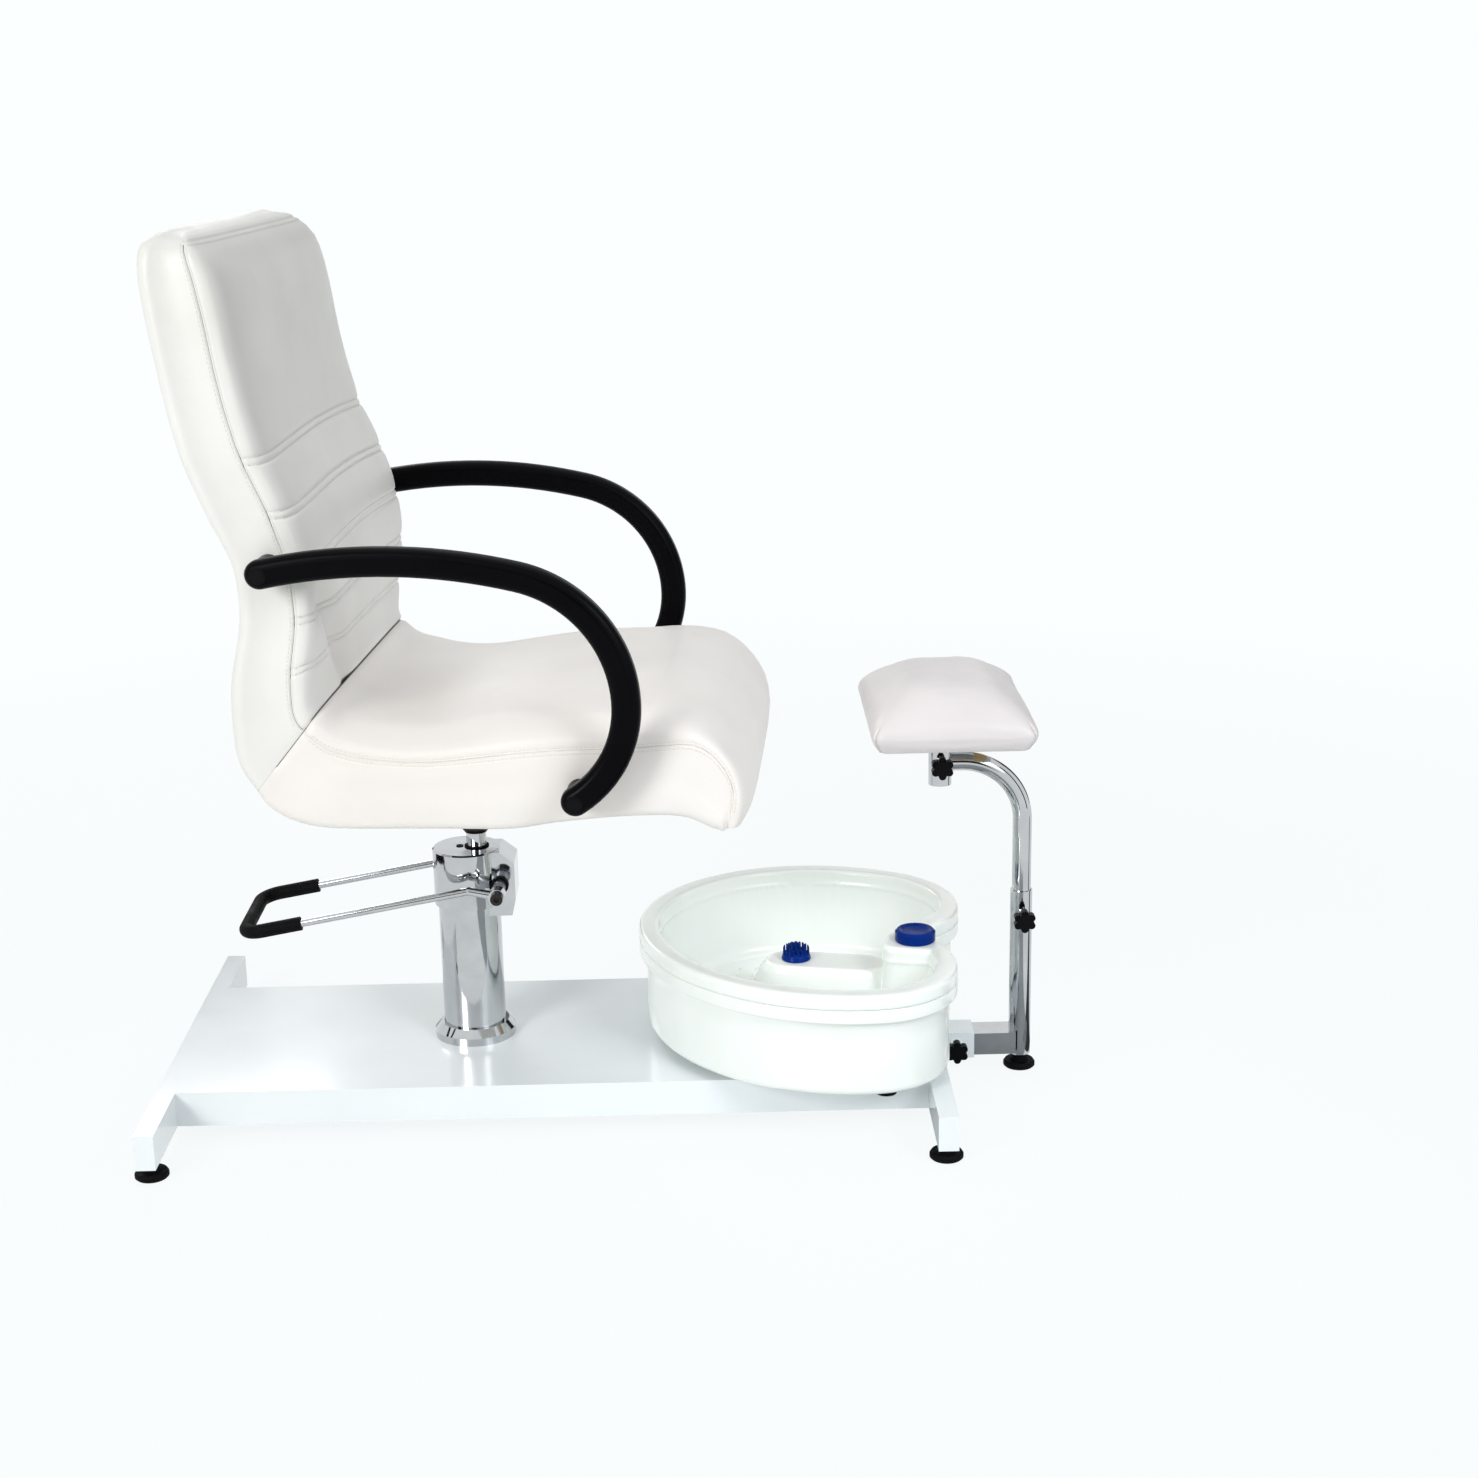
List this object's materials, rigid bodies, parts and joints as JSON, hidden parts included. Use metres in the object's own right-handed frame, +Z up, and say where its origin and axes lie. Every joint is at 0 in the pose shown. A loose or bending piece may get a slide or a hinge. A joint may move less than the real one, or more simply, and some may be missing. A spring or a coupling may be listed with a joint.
{
  "type": "pedicure spa chair",
  "caption": "Swivel armchair on a hydraulic foot pump, fixed to a low base with a loose heart-shaped foot bath and an adjustable padded leg rest.",
  "frame": {"origin": "on the floor, under the middle of the whole chair", "axes": "+X from the back of the chair towards the leg rest, +Y towards the sitter's left, +Z up"},
  "size_m": [1.1426, 0.6819, 1.133],
  "materials": {
    "white_powder_coat": "glossy white powder coat",
    "white_plastic": "white moulded plugs",
    "zinc_steel": "bright zinc plate",
    "chrome_plate": "polished chrome plate",
    "black_rubber": "moulded black rubber",
    "black_plastic": "black moulded nylon",
    "black_bolts": "black oxide and black paint",
    "white_leatherette": "embossed white leatherette, a coated fabric",
    "plywood": "bent plywood",
    "black_polyurethane": "satin self-skinned polyurethane",
    "basin_plastic": "glossy white moulded ABS",
    "blue_plastic": "blue moulded plastic"
  },
  "bodies": {
    "base": {"base_plate": "white_powder_coat", "rear_crossbar": "white_powder_coat", "front_crossbar": "white_powder_coat", "crossbar_plugs": "white_plastic", "foot_nuts": "zinc_steel", "legrest_socket": "white_powder_coat", "pump_flange": "zinc_steel", "pump_bolts": "zinc_steel", "cover_ring": "chrome_plate", "column_tube": "chrome_plate", "inner_cylinder": "zinc_steel", "pump_head": "chrome_plate", "filler_plug": "black_plastic", "ram_seal": "black_rubber", "pedal_bushes": "black_plastic"},
    "rear_near_foot": {"foot_rear_near": "black_rubber"},
    "rear_far_foot": {"foot_rear_far": "black_rubber"},
    "front_near_foot": {"foot_front_near": "black_rubber"},
    "front_far_foot": {"foot_front_far": "black_rubber"},
    "pedal": {"pedal_shaft": "zinc_steel", "pedal_fork": "chrome_plate", "pedal_grip": "black_rubber", "pedal_bolts": "black_bolts"},
    "ram_body": {"ram": "chrome_plate", "ram_piston": "zinc_steel"},
    "chair": {"seat_hub": "black_bolts", "seat_bolts": "zinc_steel", "plywood_shell": "plywood", "seat_cushion": "white_leatherette", "back_cushion": "white_leatherette", "armrest_near": "black_polyurethane", "armrest_far": "black_polyurethane", "arm_bolts": "zinc_steel", "arm_plugs": "black_plastic"},
    "legrest_slider": {"slide_tube": "chrome_plate", "post_sleeve": "chrome_plate"},
    "legrest_foot": {"foot_legrest": "black_rubber"},
    "post_glide": {"post_plug": "black_plastic"},
    "post": {"post_tube": "chrome_plate", "pad_barrel": "chrome_plate"},
    "pad": {"pad_spindle": "chrome_plate", "pad_screws": "zinc_steel", "pad_board": "plywood", "leg_pad": "white_leatherette"},
    "socket_screw": {"socket_knob": "black_plastic"},
    "sleeve_screw": {"sleeve_knob": "black_plastic"},
    "barrel_screw": {"barrel_knob": "black_plastic"},
    "bath": {"bath_tub": "basin_plastic", "bath_casing": "basin_plastic", "bath_feet": "black_rubber", "rotary_switch": "black_plastic", "vibration_motor": "zinc_steel", "heating_plate": "zinc_steel", "cord_gland": "black_plastic"},
    "dial": {"bath_dial": "blue_plastic"},
    "massager": {"massage_head": "blue_plastic"}
  },
  "joints": [
    {"name": "seat_lift", "type": "slide", "parent": "base", "child": "ram_body", "axis": [0, 0, 1], "range_m": [0, 0.15]},
    {"name": "seat_swivel", "type": "hinge", "parent": "ram_body", "child": "chair", "pos_m": [-0.16175, 0, 0.36], "axis": [0, 0, 1], "continuous": true},
    {"name": "pump_pedal", "type": "hinge", "parent": "base", "child": "pedal", "pos_m": [-0.13125, 0, 0.2825], "axis": [0, -1, 0], "range_deg": [0, 20], "stiffness_Nm_per_rad": 12, "springref_deg": -29.79},
    {"name": "rear_near_levelling", "type": "slide", "parent": "base", "child": "rear_near_foot", "axis": [0, 0, -1], "range_m": [-0.003, 0.01]},
    {"name": "rear_far_levelling", "type": "slide", "parent": "base", "child": "rear_far_foot", "axis": [0, 0, -1], "range_m": [-0.003, 0.01]},
    {"name": "front_near_levelling", "type": "slide", "parent": "base", "child": "front_near_foot", "axis": [0, 0, -1], "range_m": [-0.003, 0.01]},
    {"name": "front_far_levelling", "type": "slide", "parent": "base", "child": "front_far_foot", "axis": [0, 0, -1], "range_m": [-0.003, 0.01]},
    {"name": "legrest_reach", "type": "slide", "parent": "base", "child": "legrest_slider", "axis": [1, 0, 0], "range_m": [-0.04, 0.07]},
    {"name": "legrest_levelling", "type": "slide", "parent": "legrest_slider", "child": "legrest_foot", "axis": [0, 0, -1], "range_m": [-0.003, 0.01]},
    {"name": "legrest_height", "type": "slide", "parent": "legrest_slider", "child": "post_glide", "axis": [0, 0, 1], "range_m": [-0.07, 0.06]},
    {"name": "legrest_swing", "type": "hinge", "parent": "post_glide", "child": "post", "pos_m": [0.55025, 0, 0.2], "axis": [0, 0, 1], "range_deg": [-90, 90]},
    {"name": "pad_swivel", "type": "hinge", "parent": "post", "child": "pad", "pos_m": [0.44225, 0, 0.426], "axis": [0, 0, 1], "continuous": true},
    {"name": "socket_knob_turn", "type": "hinge", "parent": "base", "child": "socket_screw", "pos_m": [0.46225, -0.03, 0.0398], "axis": [0, 1, 0], "continuous": true},
    {"name": "sleeve_knob_turn", "type": "hinge", "parent": "legrest_slider", "child": "sleeve_screw", "pos_m": [0.55025, -0.025, 0.218], "axis": [0, 1, 0], "continuous": true},
    {"name": "barrel_knob_turn", "type": "hinge", "parent": "post", "child": "barrel_screw", "pos_m": [0.44225, -0.02, 0.427], "axis": [0, 1, 0], "continuous": true},
    {"name": "bath_lift_off", "type": "slide", "parent": "base", "child": "bath", "axis": [0, 0, 1], "range_m": [0, 0.06]},
    {"name": "bath_dial_turn", "type": "hinge", "parent": "bath", "child": "dial", "pos_m": [0.40298, -0.08365, 0.213], "axis": [0, 0, 1], "range_deg": [0, 270]},
    {"name": "massager_turn", "type": "hinge", "parent": "bath", "child": "massager", "pos_m": [0.25187, -0.02721, 0.17], "axis": [0, 0, 1], "continuous": true}
  ]
}
